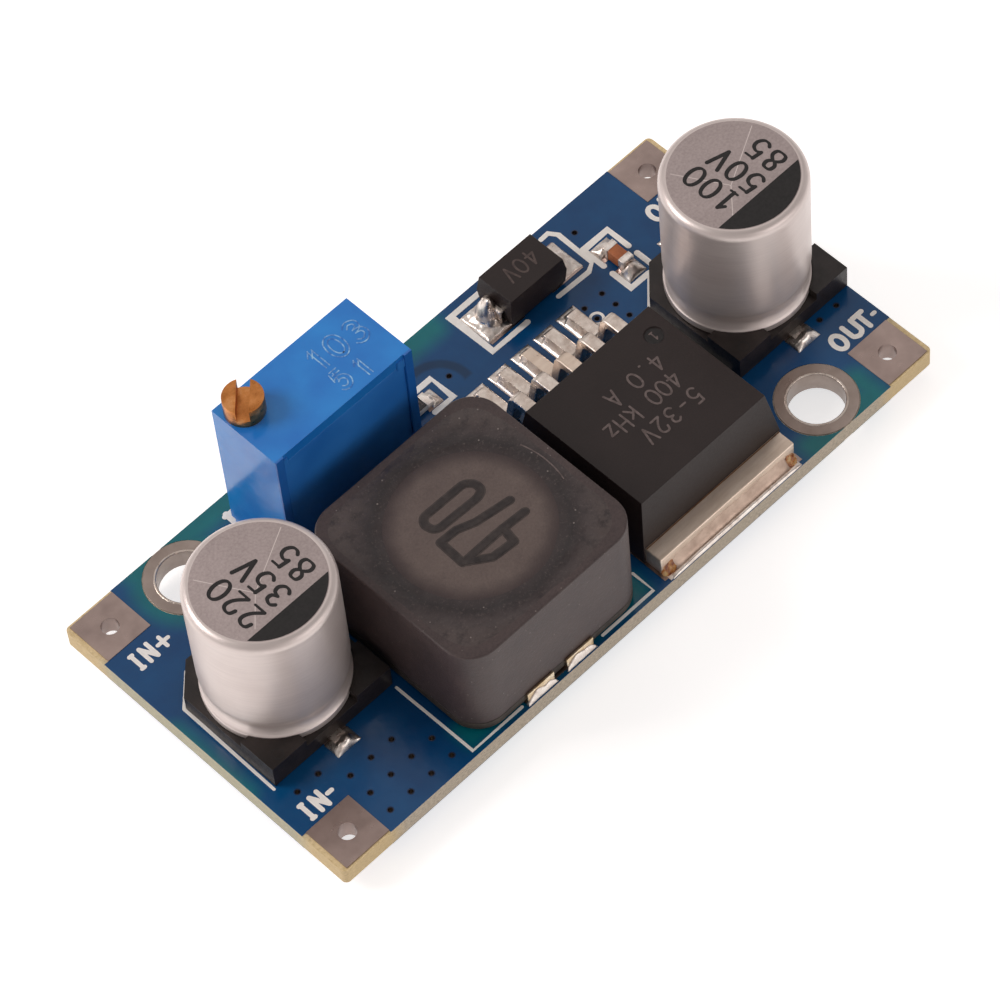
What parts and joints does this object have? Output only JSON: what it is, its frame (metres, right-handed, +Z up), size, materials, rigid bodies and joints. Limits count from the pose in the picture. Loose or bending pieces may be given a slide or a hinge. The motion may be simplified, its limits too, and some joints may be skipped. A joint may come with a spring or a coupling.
{
  "type": "dc-dc converter module",
  "caption": "Small power converter board with capacitors, a shielded inductor, a tabbed chip and a trimmer whose screw turns.",
  "frame": {"origin": "centre of the board's underside", "axes": "+X along the board from the input end to the output end, +Y across the board towards the trimmer, +Z up out of the fitted face"},
  "size_m": [0.043, 0.0208, 0.0133],
  "materials": {
    "laminate": "matt",
    "mask": "satin",
    "tinned": "satin",
    "solder": "bright",
    "can": "satin",
    "black_plastic": "satin",
    "rubber": "matt",
    "roll": "matt",
    "ferrite": "matt",
    "copper": "gloss",
    "resin": "satin",
    "base_board": "matt",
    "mould": "matt",
    "leadframe": "satin",
    "silicon": "gloss",
    "chip_ceramic": "satin",
    "alumina": "matt",
    "glaze": "gloss",
    "trimmer_blue": "gloss",
    "trimmer_navy": "gloss",
    "brass": "satin",
    "gear": "satin"
  },
  "bodies": {
    "module": {"pcb_laminate": "laminate", "mask_top": "mask", "mask_bottom": "mask", "corner_pads": "tinned", "mounting_rings": "tinned", "component_lands": "tinned", "via_barrels": "tinned", "trimmer_lands": "tinned", "cap_in_base": "black_plastic", "cap_in_can": "can", "cap_in_bung": "rubber", "cap_in_roll": "roll", "cap_in_terminals": "tinned", "cap_out_base": "black_plastic", "cap_out_can": "can", "cap_out_bung": "rubber", "cap_out_roll": "roll", "cap_out_terminals": "tinned", "choke_shield": "ferrite", "choke_drum": "ferrite", "choke_winding": "copper", "choke_resin": "resin", "choke_base": "base_board", "choke_clips": "leadframe", "ic_body": "mould", "ic_tab": "leadframe", "ic_leads": "leadframe", "ic_die": "silicon", "diode_body": "mould", "diode_leads": "leadframe", "diode_die": "silicon", "mlcc_body": "chip_ceramic", "mlcc_end_caps": "tinned", "resistor_body": "alumina", "resistor_glaze": "glaze", "resistor_end_caps": "tinned", "trimmer_housing": "trimmer_blue", "trimmer_cover": "trimmer_navy", "trimmer_seal": "rubber", "trimmer_element": "alumina", "trimmer_track": "glaze", "trimmer_pins": "tinned", "solder_ic_tab": "solder", "solder_ic_leads": "solder", "solder_diode": "solder", "solder_chip_parts": "solder", "solder_capacitors": "solder", "solder_choke": "solder", "solder_trimmer": "solder"},
    "screw": {"trimmer_screw": "brass"},
    "rotor": {"trimmer_rotor": "gear", "trimmer_wiper": "brass"}
  },
  "joints": [
    {"name": "screw_turn", "type": "hinge", "parent": "module", "child": "screw", "pos_m": [-0.00977, 0.00775, 0.01], "axis": [0, 0, 1], "continuous": true},
    {"name": "rotor_turn", "type": "hinge", "parent": "module", "child": "rotor", "pos_m": [-0.00579, 0.00775, 0.00601], "axis": [0, 1, 0], "continuous": true}
  ],
  "couplings": [
    {"joint": "rotor_turn", "follows": "screw_turn", "ratio": -0.04}
  ]
}
